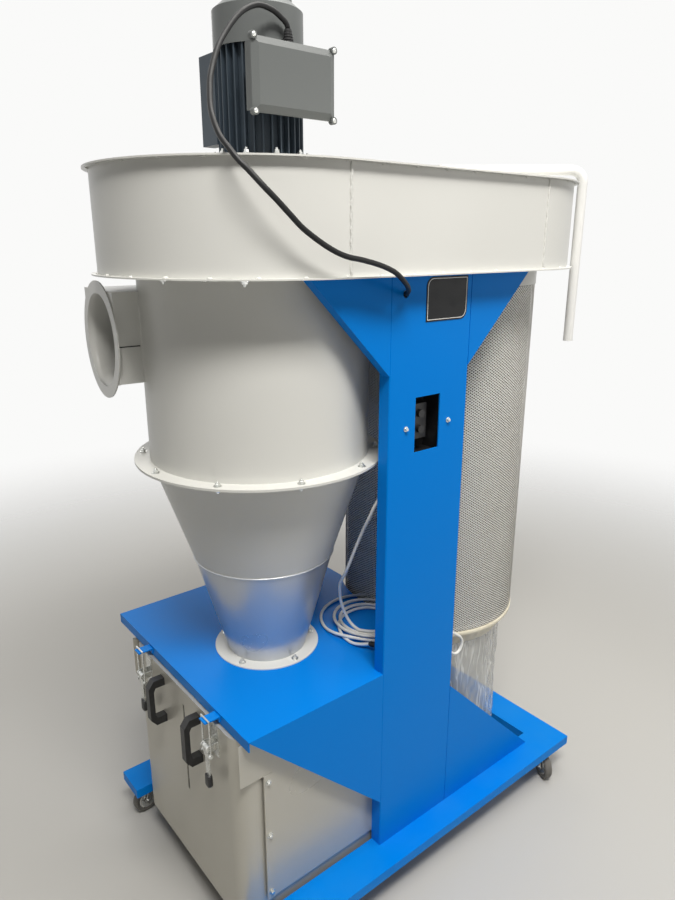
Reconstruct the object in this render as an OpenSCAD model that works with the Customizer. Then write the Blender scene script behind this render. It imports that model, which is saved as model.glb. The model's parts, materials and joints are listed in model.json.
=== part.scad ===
// Two-stage dust extractor: a cyclone and a cartridge filter hang under one fan housing,
// carried by folded posts on a castor base, with a sliding dust bin under the cyclone.
// The origin is on the floor, midway between the cyclone axis and the filter axis.
// X runs from the cyclone to the filter, -Y is the side of the switch, and Z is up.

/* [Layout] */
// Distance between the cyclone axis and the filter axis
axis_gap = 584; // [570:1:600]
// Thickness of the folded steel of the stand
plate = 3; // [2:0.5:4]
// Thickness of the sheet of the cyclone and the fan housing
skin = 2; // [1.5:0.25:3]

/* [Fan housing] */
// Height of the underside of the housing above the floor
housing_z = 1533; // [1520:1:1560]
// Height of the housing over both of its plates
housing_h = 204; // [190:1:220]
// Outer radius of the round ends of the housing wall
housing_r = 325; // [320:1:330]
// How far the top and bottom plates stand out past the wall
housing_lip = 12; // [8:1:16]

/* [Cyclone] */
// Outer radius of the barrel
barrel_r = 251; // [243:1:255]
// Height of the barrel between the housing and the cone
barrel_h = 402; // [396:1:420]
// Width of the bolted rings between barrel and cone
ring_w = 34.5; // [28:0.5:35.5]
// Thickness of each bolted ring
ring_t = 2.5; // [2:0.5:4]
// Outer radius of the cone at its welded seam
cone_mid_r = 168; // [160:1:176]
// Depth of the welded seam below the top of the cone
cone_mid_drop = 251; // [230:1:265]
// Inner radius of the cone's outlet
outlet_r = 95; // [85:1:100]
// Width of the outlet's bolted ring
outlet_ring_w = 35; // [30:1:38]
// Outer radius of the tube that takes the clean air up to the fan
vortex_r = 150; // [130:1:160]
// Length of that tube below the housing
vortex_h = 270; // [240:1:300]

/* [Inlet] */
// Inner radius of the duct inlet
inlet_r = 100; // [90:1:102]
// Width of the inlet's ring beyond its bore
inlet_ring_w = 26; // [20:1:30]
// How far the face of the inlet's ring stands out past the barrel
inlet_out = 53; // [48:1:60]
// Depth of the inlet's axis below the housing
inlet_drop = 140; // [138:1:160]
// Turn of the inlet about the cyclone axis
inlet_turn = 5.4; // [4:0.2:7]
// Height of the duct above the inlet's axis, inside
duct_up = 105; // [102:1:110]
// Height of the duct below the inlet's axis, inside
duct_down = 80; // [76:1:90]

/* [Table] */
// Height of the top of the table above the floor
table_z = 622; // [612:1:630]
// Reach of the table past the cyclone axis, at the bin's pull side
table_reach = 240; // [235:1:250]
// Distance from the centre line to the front of the table and of the front post
table_front = 297; // [292:1:300]
// Distance from the centre line to the back of the table
table_back = 363; // [350:1:363]
// Height of the folded lips of the table
table_lip = 25; // [20:1:30]
// Gap between the table's round cut and the filter
table_gap = 12; // [8:1:16]

/* [Posts] */
// Width of a post
post_w = 242; // [232:1:250]
// Depth of a post's folded edges
post_depth = 31; // [28:1:34]
// Distance from the machine's middle to the middle of a post, towards the cyclone
post_shift = 42; // [38:1:46]
// Length of the legs of an upper gusset
gusset_leg = 202; // [180:1:210]
// Width of the folded edge along a gusset's slope
gusset_fold = 25; // [20:1:26]
// Width and height of the switch opening
switch_w = 76; // [70:1:80]
switch_h = 124; // [110:1:130]
// Height of the middle of the switch opening
switch_z = 1215; // [1200:1:1230]

/* [Base] */
// Length of the base
base_l = 1140; // [1130:1:1160]
// Width of the base
base_w = 726; // [726:1:740]
// Height of the top of the base
base_z = 118; // [116:1:124]
// Width of a rail
rail_w = 95; // [93:1:97]
// Height of a rail
rail_h = 27; // [24:1:30]

/* [Castors] */
// Radius of a castor wheel
wheel_r = 37.5; // [35:0.5:38]
// Width of a castor wheel
wheel_w = 22; // [18:1:24]
// Distance from a castor's pivot to its axle, sideways
trail = 28; // [24:1:30]

/* [Dust bin] */
// Gap between the bin and the dust bag behind it
bin_back_gap = 50; // [44:1:62]
// Height of the bin's floor above the ground
bin_z = 90; // [88:1:94]
// Radius of the bin's upright corners
bin_corner = 42; // [38:1:50]
// Gap between the bin and each side panel
bin_gap = 5; // [4:0.5:7]
// How far the bin's face stands out past the table
bin_proud = 8; // [6:1:12]
// Distance from the middle of the bin to each latch
latch_y = 168; // [160:1:180]
// Distance from the middle of the bin to each handle
handle_y = 92; // [84:1:100]

/* [Filter] */
// Radius of the mesh around the filter cartridge
filter_r = 250; // [240:1:255]
// Height of the lower end of the mesh
filter_z = 570; // [560:1:580]
// Number of pleats
pleats = 72; // [48:1:90]
// Depth of a pleat
pleat_depth = 34; // [20:1:40]
// Radius of the dust bag
bag_r = 230; // [222:1:236]
// Height of the bottom of the dust bag
bag_z = 132; // [126:1:150]

/* [Crank] */
// Outer radius of the crank's pipe
crank_r = 12.5; // [10:0.5:14]
// Distance from the filter axis to the hanging part of the crank
crank_reach = 360; // [358:1:372]
// Height of the middle of the crank's arm above the housing
crank_rise = 36; // [34:1:44]
// Height of the lower end of the crank
crank_low = 1336; // [1300:1:1380]

/* [Motor] */
// Distance from the cyclone axis to the motor axis
motor_shift = 26; // [20:1:30]
// Radius of the fan cowl
cowl_r = 91; // [88:1:95]
// Height of the finned body
motor_h = 228; // [222:1:236]
// Height of the motor over all
motor_top = 318; // [312:1:330]
// Number of cooling fins
fins = 30; // [24:2:36]

/* [Hidden] */
$fn = 96;
small = 32;
eps = 0.01;
// Play between pieces that are pushed together
fit = 0.2;

// Axes of the cyclone, the filter and the motor
cyc_x = -axis_gap / 2;
fil_x = axis_gap / 2;
motor_x = cyc_x + motor_shift;
housing_top_z = housing_z + housing_h;
barrel_z = housing_z - barrel_h;

// The posts stand at the same distance in front of and behind the centre line
post_left = -post_shift - post_w / 2;
post_right = post_left + post_w;
panel_y = table_front - post_depth;

// The table ends beside the right edge of the posts and round the filter
table_left = cyc_x - table_reach;
table_right = post_right + 5;
table_under = table_z - plate;

// The bin hangs by its latches just under its seal
bin_x = table_left - bin_proud;
bin_l = fil_x - bag_r - bin_back_gap - bin_x;
bin_half = panel_y - skin - bin_gap;
seal_h = table_lip - plate;
bin_top = table_under - seal_h - 2;

// Castors: pivots in the middle of the rails, with the turn of each as it stands
castor_x = base_l / 2 - 70;
castor_y = base_w / 2 - rail_w / 2;
castor_places = [
    [-castor_x, -castor_y, 200], [castor_x, -castor_y, 243],
    [-castor_x, castor_y, 184], [castor_x, castor_y, 117]
];

// Latches: the lever turns on a pin in the base, and the bail on a pin in the lever
latch_out = 22;
latch_pivot_z = 548;
latch_throw = 18;
bail_wire = 2;
bail_half = 16.5;
catch_t = 3;
catch_top = table_z - 5;
catch_w = 25;
catch_reach = 38;
catch_flange = 10;
bail_top = catch_top + bail_wire + 0.3;

// Colours of the paints and parts
blue = [0.0, 0.42, 0.78];
pale = [0.86, 0.86, 0.84];
bin_grey = [0.62, 0.61, 0.57];
motor_grey = [0.42, 0.47, 0.50];

// A plate drawn in X and Z, t thick, with its front face at y
module upright(y, t) {
    translate([0, y + t, 0]) rotate([90, 0, 0]) linear_extrude(t) children();
}

module tube(r_out, r_in, h) {
    difference() {
        cylinder(r = r_out, h = h);
        translate([0, 0, -1]) cylinder(r = r_in, h = h + 2);
    }
}

// The long outline with two round ends that the fan housing is made on
module stadium(r) {
    for (x = [cyc_x, fil_x]) translate([x, 0]) circle(r);
    translate([cyc_x, -r]) square([axis_gap, 2 * r]);
}

module round_rect(l, w, r) {
    for (x = [r, l - r], y = [r - w / 2, w / 2 - r]) translate([x, y]) circle(r, $fn = small);
    translate([r, -w / 2]) square([l - 2 * r, w]);
    translate([0, r - w / 2]) square([l, w - 2 * r]);
}

// Base: three folded rails, open underneath
module rail(l, w) {
    difference() {
        translate([0, 0, base_z - rail_h]) cube([l, w, rail_h]);
        translate([plate, plate, base_z - rail_h - 1]) cube([l - 2 * plate, w - 2 * plate, rail_h - plate + 1]);
    }
}

module base_front_rail() {
    color(blue) translate([-base_l / 2, -base_w / 2, 0]) rail(base_l, rail_w);
}

module base_rear_rail() {
    color(blue) translate([-base_l / 2, base_w / 2 - rail_w, 0]) rail(base_l, rail_w);
}

module base_cross_rail() {
    color(blue) translate([base_l / 2 - rail_w, -base_w / 2 + rail_w, 0])
        rail(rail_w, base_w - 2 * rail_w);
}

// Castors
pin_r = 5;
crown_z = base_z - plate - 20;
castor_plate_w = 64;
castor_plate_t = 3;
arm_gap = wheel_w / 2 + 2;
axle_r = 4;
run = 0.05;

module castor_plates() {
    color("silver") for (c = castor_places) translate([c[0], c[1], 0]) {
        translate([-castor_plate_w / 2, -castor_plate_w / 2, base_z - plate - castor_plate_t])
            cube([castor_plate_w, castor_plate_w, castor_plate_t]);
        translate([0, 0, crown_z + 5.5])
            cylinder(r = 18, h = base_z - plate - castor_plate_t - crown_z - 5.5, $fn = small);
        translate([0, 0, crown_z - 5]) cylinder(r = pin_r, h = 12, $fn = small);
        translate([0, 0, crown_z - 5]) cylinder(r = 9, h = 4.5, $fn = small);
    }
}

module castor_fork(i) {
    c = castor_places[i];
    color("silver") translate([c[0], c[1], 0]) rotate(c[2]) {
        difference() {
            union() {
                translate([0, 0, crown_z]) cylinder(r = 20, h = 5, $fn = small);
                translate([-14, -arm_gap - 3, crown_z]) cube([28, 2 * arm_gap + 6, 5]);
            }
            translate([0, 0, crown_z - 1]) cylinder(r = pin_r + run, h = 7, $fn = small);
        }
        for (side = [-arm_gap - 3, arm_gap]) upright(side, 3) {
            polygon([[-14, crown_z + 5], [14, crown_z + 5], [trail + 9, wheel_r], [trail - 9, wheel_r]]);
            translate([trail, wheel_r]) circle(9, $fn = small);
        }
        translate([trail, arm_gap + 6, wheel_r]) rotate([90, 0, 0])
            cylinder(r = axle_r, h = 2 * arm_gap + 12, $fn = small);
    }
}

module castor_wheel(i) {
    c = castor_places[i];
    tread = wheel_w / 2;
    color("dimgray") translate([c[0], c[1], 0]) rotate(c[2]) translate([trail, 0, wheel_r])
        rotate([90, 0, 0]) rotate_extrude() polygon([
            [axle_r + run, -tread - 1], [10, -tread - 1], [12, -tread + 3], [wheel_r - 12, -tread + 3],
            [wheel_r - 9, -tread], [wheel_r - 3, -tread], [wheel_r, -tread + 4], [wheel_r, tread - 4],
            [wheel_r - 3, tread], [wheel_r - 9, tread], [wheel_r - 12, tread - 3], [12, tread - 3],
            [10, tread + 1], [axle_r + run, tread + 1]
        ]);
}

// Posts: folded channels that stand on the rails and carry the housing
post_foot = base_z;
post_h = housing_z - post_foot;

// Bevel of the folded edges, which shows as a groove beside the gussets
bend = 2;

module channel() {
    translate([0, 0, post_foot]) linear_extrude(post_h) difference() {
        polygon([
            [post_left, -panel_y], [post_left, bend - table_front], [post_left + bend, -table_front],
            [post_right - bend, -table_front], [post_right, bend - table_front], [post_right, -panel_y]
        ]);
        translate([post_left + plate, plate - table_front]) square([post_w - 2 * plate, post_depth]);
    }
    // Head plate under the housing
    translate([post_left, plate - table_front, housing_z - plate]) cube([post_w, post_depth - plate, plate]);
}

cable_hole_x = -122;
cable_hole_z = 1496;
cable_hole_r = 8;
switch_x = post_left + post_w / 2 - 5;

module front_post() {
    color(blue) difference() {
        channel();
        translate([switch_x - switch_w / 2, -table_front - 1, switch_z - switch_h / 2])
            cube([switch_w, plate + 2, switch_h]);
        translate([cable_hole_x, -table_front - 1, cable_hole_z]) rotate([-90, 0, 0])
            cylinder(r = cable_hole_r, h = plate + 2, $fn = small);
    }
}

module rear_post() {
    color(blue) mirror([0, 1, 0]) channel();
}

// A triangle with a square corner at [x, z], legs of lx and lz, and a fold along its slope
module gusset(x, z, lx, lz) {
    slope = sqrt(lx * lx + lz * lz);
    fx = plate * slope / abs(lz) * sign(lx);
    fz = plate * slope / abs(lx) * sign(lz);
    upright(-table_front, plate) polygon([[x, z], [x + lx, z], [x, z + lz]]);
    upright(-table_front, gusset_fold)
        polygon([[x + lx, z], [x, z + lz], [x, z + lz - fz], [x + lx - fx, z]]);
}

module front_upper_gussets() {
    gusset(post_left, housing_z, -gusset_leg, -gusset_leg);
    gusset(post_right, housing_z, gusset_leg, -gusset_leg);
}

module upper_gussets() {
    color(blue) {
        front_upper_gussets();
        mirror([0, 1, 0]) front_upper_gussets();
    }
}

table_flange = 14;
flange_t = 1;

// Under the table the gusset also closes the table's front edge
module front_lower_gussets() {
    difference() {
        gusset(post_left, table_z, table_left - post_left, table_left - post_left);
        // The fold stops under the table's lip
        translate([table_left - 1, -table_front + plate, table_z - table_lip])
            cube([post_left - table_left + 2, gusset_fold, table_lip + 1]);
    }
    // The top edge is folded flat onto the table
    translate([table_left, -table_front, table_z]) cube([post_left - table_left, table_flange, flange_t]);
    gusset(post_right, base_z, base_l / 2 - 125 - post_right, base_l / 2 - 125 - post_right);
}

module lower_gussets() {
    color(blue) {
        front_lower_gussets();
        mirror([0, 1, 0]) {
            upright(-table_front, plate)
                polygon([[post_left, table_under], [table_left + 60, table_under], [post_left, table_z - 370]]);
            gusset(post_right, base_z, base_l / 2 - 125 - post_right, base_l / 2 - 125 - post_right);
        }
    }
}

plate_w = 127;
plate_h = 92;
plate_x = 0;
plate_z = 1482;

// Two opposite corners of the plate are round
module rating_plate() {
    r = 20;
    color("black") upright(-table_front - 1, 1) translate([plate_x - plate_w / 2, plate_z - plate_h / 2]) {
        translate([0, 0]) square([plate_w - r, plate_h - r]);
        translate([r, r]) square([plate_w - r, plate_h - r]);
        translate([r, plate_h - r]) circle(r, $fn = small);
        translate([plate_w - r, r]) circle(r, $fn = small);
    }
}

lead_x = -60;
lead_y = -262;
gland_h = 12;
lead_top = switch_z - switch_h / 2 - 12 - gland_h;

// Starter behind the opening: a dark tray with a block and two buttons in it
module switch_box() {
    deep = 58;
    wide = switch_w + 24;
    tall = switch_h + 24;
    color("black") translate([switch_x, -table_front + plate, switch_z]) {
        difference() {
            translate([-wide / 2, 0, -tall / 2]) cube([wide, deep, tall]);
            translate([-wide / 2 + 3, -1, -tall / 2 + 3]) cube([wide - 6, deep - 2, tall - 6]);
        }
        translate([-22, 22, -40]) cube([44, deep - 22, 80]);
        for (z = [-18, 18]) translate([0, 23, z]) rotate([90, 0, 0]) cylinder(r = 9, h = 9, $fn = small);
        // Gland of the mains lead
        translate([lead_x - switch_x, lead_y + table_front - plate, -tall / 2 - gland_h])
            cylinder(r = 9, h = gland_h + 1, $fn = small);
    }
}

// Table: a tray turned over, cut round the outlet, the posts and the filter
module table_outline() {
    difference() {
        polygon([
            [table_left, -table_front + plate], [post_left, -table_front + plate], [post_left, -panel_y],
            [table_right, -panel_y], [table_right, panel_y], [post_left, panel_y],
            [post_left, table_back], [table_left, table_back]
        ]);
        translate([cyc_x, 0]) circle(outlet_r);
        translate([fil_x, 0]) circle(filter_r + table_gap);
    }
}

module table_top() {
    color(blue) translate([0, 0, table_under]) linear_extrude(plate) table_outline();
}

// The folded edges under the table at its ends and its back, with an open notch at the corner
lip_notch = 1;

module table_lips() {
    color(blue) translate([0, 0, table_z - table_lip]) linear_extrude(table_lip - plate) {
        translate([table_left, -table_front + plate])
            square([plate, table_front + table_back - 2 * plate - lip_notch]);
        translate([table_left, table_back - plate]) square([post_left - table_left, plate]);
        difference() {
            translate([table_right - plate, -panel_y]) square([plate, 2 * panel_y]);
            translate([fil_x, 0]) circle(filter_r + table_gap);
        }
    }
}

// Flat catches on the table's lip, with a short flange that is screwed to it
module latch_catches() {
    color(blue) for (s = [-1, 1]) translate([table_left, s * latch_y - catch_w / 2, catch_top - catch_t]) {
        translate([-catch_reach, 0, 0]) cube([catch_reach, catch_w, catch_t]);
        translate([-catch_t, 0, -catch_flange]) cube([catch_t, catch_w, catch_flange + eps]);
    }
}

// Side panels beside the bin, stepped back at the bin's pull side
panel_low = 145;
panel_lip_z = table_z - table_lip - 0.5;
panel_step_x = table_left + 50;
panel_step_z = 490;

module side_panels() {
    right = bin_x + bin_l + 6;
    color(bin_grey) for (s = [0, 1]) mirror([0, s, 0]) {
        upright(-panel_y, skin) polygon([
            [table_left + plate, table_under], [table_left + plate, panel_lip_z], [bin_x, panel_lip_z],
            [bin_x, panel_step_z], [panel_step_x, panel_step_z],
            [panel_step_x, panel_low], [right, panel_low], [right, table_under]
        ]);
        // Bolted strip along the panel's edge
        translate([panel_step_x, -panel_y - 2, panel_low]) cube([22, 2, panel_step_z - panel_low]);
    }
}

seal_w = 12;
seal_in = bin_proud + plate + 2;

// The seal hangs under the table, just over the bin's rim
module bin_seal() {
    l = bin_l - 2 * seal_in;
    w = 2 * bin_half - 2 * seal_in;
    color("black") translate([bin_x + seal_in, 0, table_under - seal_h]) linear_extrude(seal_h) difference() {
        round_rect(l, w, bin_corner - seal_in);
        translate([seal_w, 0]) round_rect(l - 2 * seal_w, w - 2 * seal_w, bin_corner - seal_in - seal_w);
    }
}

// Fan housing
module housing_wall() {
    color(pale) translate([0, 0, housing_z + plate]) linear_extrude(housing_h - 2 * plate) difference() {
        stadium(housing_r);
        stadium(housing_r - skin);
    }
}

crank_pin_r = 9;
boss_r = 20;
boss_h = 14;

module housing_top() {
    color(pale) difference() {
        union() {
            translate([0, 0, housing_top_z - plate]) linear_extrude(plate) stadium(housing_r + housing_lip);
            translate([fil_x, 0, housing_top_z - eps]) cylinder(r = boss_r, h = boss_h);
        }
        translate([fil_x, 0, housing_z]) cylinder(r = crank_pin_r + run, h = housing_h + boss_h + 1);
    }
}

filter_hole = 190;

module housing_floor() {
    color(pale) translate([0, 0, housing_z]) linear_extrude(plate) difference() {
        stadium(housing_r + housing_lip);
        translate([cyc_x, 0]) circle(vortex_r - skin);
        translate([fil_x, 0]) circle(filter_hole);
    }
}

// Cyclone
inlet_z = housing_z - inlet_drop;
inlet_reach = barrel_r + inlet_out;
inlet_side = barrel_r - inlet_r - 2 * skin - 1;
duct_half = inlet_r + skin + fit;
top_ring_w = 18;

// The inlet's own frame: its origin is on the cyclone axis, and the duct runs along X
module at_inlet() {
    translate([cyc_x, 0, inlet_z]) rotate(-inlet_turn) children();
}

// A block as wide and high as the duct's inside, and grown by its wall
module duct_block(start, grow) {
    translate([start, inlet_side - duct_half - grow, -duct_down - grow])
        cube([-start, 2 * (duct_half + grow), duct_up + duct_down + 2 * grow]);
}

module cyclone_barrel() {
    color(pale) difference() {
        translate([cyc_x, 0, barrel_z]) {
            tube(barrel_r, barrel_r - skin, barrel_h);
            tube(barrel_r + ring_w, barrel_r - skin, ring_t);
            translate([0, 0, barrel_h - ring_t]) tube(barrel_r + top_ring_w, barrel_r - skin, ring_t);
        }
        at_inlet() duct_block(-barrel_r - top_ring_w, 0);
    }
}

// The cone's outer radius at a depth under the barrel
cone_drop = barrel_z - table_z;
function cone_r(drop) = drop < cone_mid_drop
    ? barrel_r + (cone_mid_r - barrel_r) * drop / cone_mid_drop
    : cone_mid_r + (outlet_r + skin - cone_mid_r) * (drop - cone_mid_drop) / (cone_drop - cone_mid_drop);

// A stretch of the cone from one depth to the next, with its wall taken off
module cone_solid(wall, from, to) {
    translate([0, 0, -to]) cylinder(r1 = cone_r(to) - wall, r2 = cone_r(from) - wall, h = to - from);
}

// The cone is rolled in two pieces with a weld bead between them
bead_r = 2.5;
cone_seam = cone_mid_drop - bead_r;

module cyclone_cone() {
    color(pale) translate([cyc_x, 0, barrel_z]) difference() {
        union() {
            cone_solid(0, 0, cone_seam);
            translate([0, 0, -ring_t]) cylinder(r = barrel_r + ring_w, h = ring_t);
        }
        cone_solid(skin, 0, cone_seam);
    }
}

module cone_tip() {
    low = cone_drop - ring_t;
    color(pale) translate([cyc_x, 0, barrel_z]) difference() {
        union() {
            cone_solid(0, cone_seam, cone_mid_drop);
            cone_solid(0, cone_mid_drop, low);
            translate([0, 0, -cone_mid_drop]) rotate_extrude() translate([cone_mid_r, 0]) circle(bead_r, $fn = 16);
        }
        cone_solid(skin, cone_seam, cone_mid_drop);
        cone_solid(skin, cone_mid_drop, low);
    }
}

// The cone stands on a ring that is bolted to the table
module outlet_ring() {
    color(pale) translate([cyc_x, 0, table_z]) tube(outlet_r + outlet_ring_w, outlet_r, ring_t);
}

// The inlet is a short round spigot with a ring, and a square duct that takes it in and
// runs tangent to the barrel
spigot_l = 24;

module inlet_round(r, x, l) {
    translate([x - inlet_reach, inlet_side, 0]) rotate([0, 90, 0]) cylinder(r = r, h = l);
}

module inlet_spigot() {
    color(pale) at_inlet() difference() {
        union() {
            inlet_round(inlet_r + skin, 0, spigot_l);
            inlet_round(inlet_r + inlet_ring_w, 0, ring_t);
        }
        inlet_round(inlet_r, -1, spigot_l + 2);
    }
}

module inlet_duct() {
    start = ring_t + fit - inlet_reach;
    color(pale) at_inlet() difference() {
        union() {
            difference() {
                duct_block(start, skin);
                duct_block(start + skin, 0);
            }
            // End wall for the part of the spigot that is lower than the duct's floor
            intersection() {
                inlet_round(inlet_r + skin, spigot_l + fit, skin);
                translate([-inlet_reach, inlet_side - inlet_r, -inlet_r - skin])
                    cube([2 * spigot_l, 2 * inlet_r, inlet_r + skin - duct_down]);
            }
        }
        inlet_round(inlet_r + skin + fit, 0, spigot_l + fit);
        translate([0, 0, -barrel_h]) cylinder(r = barrel_r + fit, h = 2 * barrel_h);
    }
}

module vortex_tube() {
    color(pale) translate([cyc_x, 0, housing_z - vortex_h]) tube(vortex_r, vortex_r - skin, vortex_h);
}

// Motor
flange_h = 12;
foot_x = 70;
foot_w = 28;
foot_low = 52;
foot_t = 60;
lid_w = 194;
lid_h = 128;
lid_t = 12;
lid_y = -130;
lid_z = 1894;
pad_w = 90;
box_back = 1 - cowl_r;

module motor_body() {
    core = cowl_r - 16;
    color(motor_grey) translate([motor_x, 0, housing_top_z]) {
        cylinder(r = cowl_r + 9, h = flange_h);
        cylinder(r = core, h = motor_h + 10);
        translate([0, 0, flange_h + 14]) linear_extrude(motor_h - flange_h - 14)
            for (i = [0:fins - 1]) rotate(i * 360 / fins) translate([core - 2, -1.5]) square([cowl_r - core - 1, 3]);
        // Pad for the terminal box
        translate([-pad_w / 2, box_back, lid_z - housing_top_z - pad_w / 2]) cube([pad_w, -box_back - core + 12, pad_w]);
        // Two feet on the back
        for (x = [-foot_x, foot_x]) difference() {
            translate([x - foot_w / 2, core - 40, foot_low]) cube([foot_w, foot_t, motor_h - 6 - foot_low]);
            for (z = [foot_low + 14, motor_h - 20]) translate([x, core, z]) rotate([-90, 0, 0])
                cylinder(r = 5, h = 60, $fn = small);
        }
    }
}

module motor_cowl() {
    low = motor_h - 3;
    drop = motor_top - 24;
    color(motor_grey) translate([motor_x, 0, housing_top_z]) difference() {
        union() {
            translate([0, 0, low]) cylinder(r = cowl_r, h = drop - low);
            translate([0, 0, drop]) cylinder(r1 = cowl_r, r2 = cowl_r - 22, h = 18);
            translate([0, 0, drop + 18]) cylinder(r = cowl_r - 22, h = 6);
        }
        translate([0, 0, low - 1]) cylinder(r = cowl_r - 2.5, h = drop - low - 10);
        for (r = [18:12:54]) translate([0, 0, motor_top - 3]) tube(r + 4, r, 4);
    }
}

module terminal_box() {
    color(motor_grey) translate([motor_x - lid_w / 2 + 8, lid_y + lid_t, lid_z - lid_h / 2 + 6])
        cube([lid_w - 16, box_back - lid_y - lid_t, lid_h - 12]);
}

lid_rim = 5;
lid_bevel = 13;

// The lid's edges slope up all round to its raised middle
module terminal_lid() {
    color(motor_grey) {
        translate([motor_x, lid_y, lid_z]) hull() {
            translate([-lid_w / 2, lid_t - lid_rim, -lid_h / 2]) cube([lid_w, lid_rim, lid_h]);
            translate([lid_bevel - lid_w / 2, 0, lid_bevel - lid_h / 2])
                cube([lid_w - 2 * lid_bevel, lid_t, lid_h - 2 * lid_bevel]);
        }
        for (x = [-1, 1], z = [-1, 1]) translate([motor_x + x * (lid_w / 2 - 4), lid_y + lid_t, lid_z + z * (lid_h / 2 - 1)])
            rotate([90, 0, 0]) cylinder(r = 7, h = lid_t - 1, $fn = small);
    }
}

gland_x = -266;
gland_y = -104;
gland_z = lid_z + lid_h / 2 - 6;

module cable_gland() {
    color("black") translate([gland_x, gland_y, gland_z]) {
        cylinder(r = 13, h = 8, $fn = 6);
        for (i = [0:4]) translate([0, 0, 8 + 5 * i]) cylinder(r = 11 - i * 0.9, h = 3, $fn = small);
        translate([0, 0, 8]) cylinder(r = 6.5, h = 24, $fn = small);
    }
}

// A cord is a tube swept along its own points, rounded between them
function unit(v) = v / norm(v);
function spline(p, i, t) =
    let (a = p[max(i - 1, 0)], b = p[i], c = p[i + 1], d = p[min(i + 2, len(p) - 1)])
    0.5 * (2 * b + (c - a) * t + (2 * a - 5 * b + 4 * c - d) * t * t + (3 * b - a - 3 * c + d) * t * t * t);
function smooth(p, n) = concat([for (i = [0:len(p) - 2], k = [0:n - 1]) spline(p, i, k / n)], [p[len(p) - 1]]);
function tangents(p) = [for (i = [0:len(p) - 1]) unit(p[min(i + 1, len(p) - 1)] - p[max(i - 1, 0)])];
function square_off(n, t) = unit(n - (n * t) * t);

module cord(route, r, sides, n) {
    p = smooth(route, n);
    t = tangents(p);
    last = len(p) - 1;
    side = [for (i = 0, v = square_off([0.31, 0.87, 0.38], t[0]); i <= last;
        i = i + 1, v = i <= last ? square_off(v, t[i]) : v) v];
    points = [for (i = [0:last], k = [0:sides - 1]) let (a = 360 * k / sides)
        p[i] + r * (cos(a) * side[i] + sin(a) * cross(t[i], side[i]))];
    walls = [for (i = [0:last - 1], k = [0:sides - 1]) let (a = i * sides, b = (k + 1) % sides)
        [a + k, a + sides + k, a + sides + b, a + b]];
    polyhedron(points, concat([[for (k = [0:sides - 1]) k]], walls,
        [[for (k = [sides - 1:-1:0]) last * sides + k]]), convexity = 10);
}

motor_cable_route = [
    [-266, -104, 1984], [-266.5, -104, 1988.5], [-270.5, -104, 1994.2], [-280, -104, 2000.5],
    [-301, -105, 2010], [-334, -108, 2012], [-368, -115, 1997],
    [-395, -124, 1976], [-445, -148, 1921], [-482, -180, 1861], [-504, -216, 1808], [-512, -257, 1761],
    [-508, -275, 1743], [-490, -303, 1709], [-454, -328, 1664], [-408, -342, 1617], [-367, -350, 1590],
    [-329, -353, 1574], [-240, -353, 1555], [-201, -349, 1541], [-167, -340, 1521], [-140, -321, 1507],
    [-126, -303, 1498], [-122, -288, 1496]
];

module motor_cable() {
    color("black") cord(motor_cable_route, 5, 8, 2);
}

// Filter: a pleated cartridge in a mesh sleeve, with a cuff and a bag below
collar_h = 40;
cap_h = 6;

module filter_core() {
    outer = filter_r - 8;
    inner = outer - pleat_depth;
    step = 360 / pleats;
    tall = housing_z - collar_h - filter_z;
    color("whitesmoke") translate([fil_x, 0, filter_z]) {
        linear_extrude(tall) difference() {
            polygon([for (i = [0:pleats - 1], k = [0, 1])
                let (r = k == 0 ? outer : inner, a = (i + k / 2) * step) [r * cos(a), r * sin(a)]]);
            circle(inner - 6);
        }
        // End caps, the upper one up to the housing
        tube(outer + 3, inner - 6, cap_h);
        translate([0, 0, tall]) tube(outer + 3, inner - 6, collar_h);
    }
}

module filter_collar() {
    color(pale) translate([fil_x, 0, housing_z - collar_h]) tube(filter_r + 2, filter_r - 1.5, collar_h);
}

module filter_mesh() {
    color("white") translate([fil_x, 0, filter_z]) tube(filter_r, filter_r - 1.5, housing_z - collar_h - filter_z);
}

cuff_h = 54;

module filter_cuff() {
    color("linen") translate([fil_x, 0, filter_z - cuff_h]) difference() {
        union() {
            cylinder(r1 = bag_r + 8, r2 = filter_r + 1, h = cuff_h - 12);
            translate([0, 0, cuff_h - 12]) cylinder(r = filter_r + 1, h = 12);
        }
        translate([0, 0, -1]) cylinder(r = bag_r - 6, h = cuff_h + 2);
    }
}

bag_t = 2;
bag_turn = 40;

// Outline of the bag from its axis, less the thickness of its wall
module bag_profile(wall) {
    tall = filter_z - cuff_h - 0.3 - bag_z;
    polygon([[0, wall], [bag_r - 30 - wall, wall], [bag_r - wall, bag_turn], [bag_r - wall, tall + wall], [0, tall + wall]]);
}

module dust_bag() {
    color([0.9, 0.9, 0.9, 0.4]) translate([fil_x, 0, bag_z]) rotate_extrude() difference() {
        bag_profile(0);
        bag_profile(bag_t);
    }
}

// Crank: one bent pipe that turns in the boss above the filter
crank_turn = -40;
crank_bend = 32;
crank_pin_l = 60;

module crank_handle() {
    z = housing_top_z + crank_rise;
    seat = housing_top_z + boss_h + 0.5;
    color("white") translate([fil_x, 0, 0]) rotate(crank_turn) {
        translate([0, 0, housing_top_z - crank_pin_l])
            cylinder(r = crank_pin_r, h = z - housing_top_z + crank_pin_l, $fn = small);
        translate([0, 0, seat]) cylinder(r = crank_r + 3, h = z + crank_r - seat, $fn = small);
        translate([0, 0, z]) rotate([0, 90, 0]) cylinder(r = crank_r, h = crank_reach - crank_bend, $fn = small);
        translate([crank_reach - crank_bend, 0, z - crank_bend]) rotate([90, 0, 0])
            rotate_extrude(angle = 90, $fn = 64) translate([crank_bend, 0]) circle(crank_r, $fn = small);
        translate([crank_reach, 0, crank_low]) cylinder(r = crank_r, h = z - crank_bend - crank_low, $fn = small);
    }
}

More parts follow.
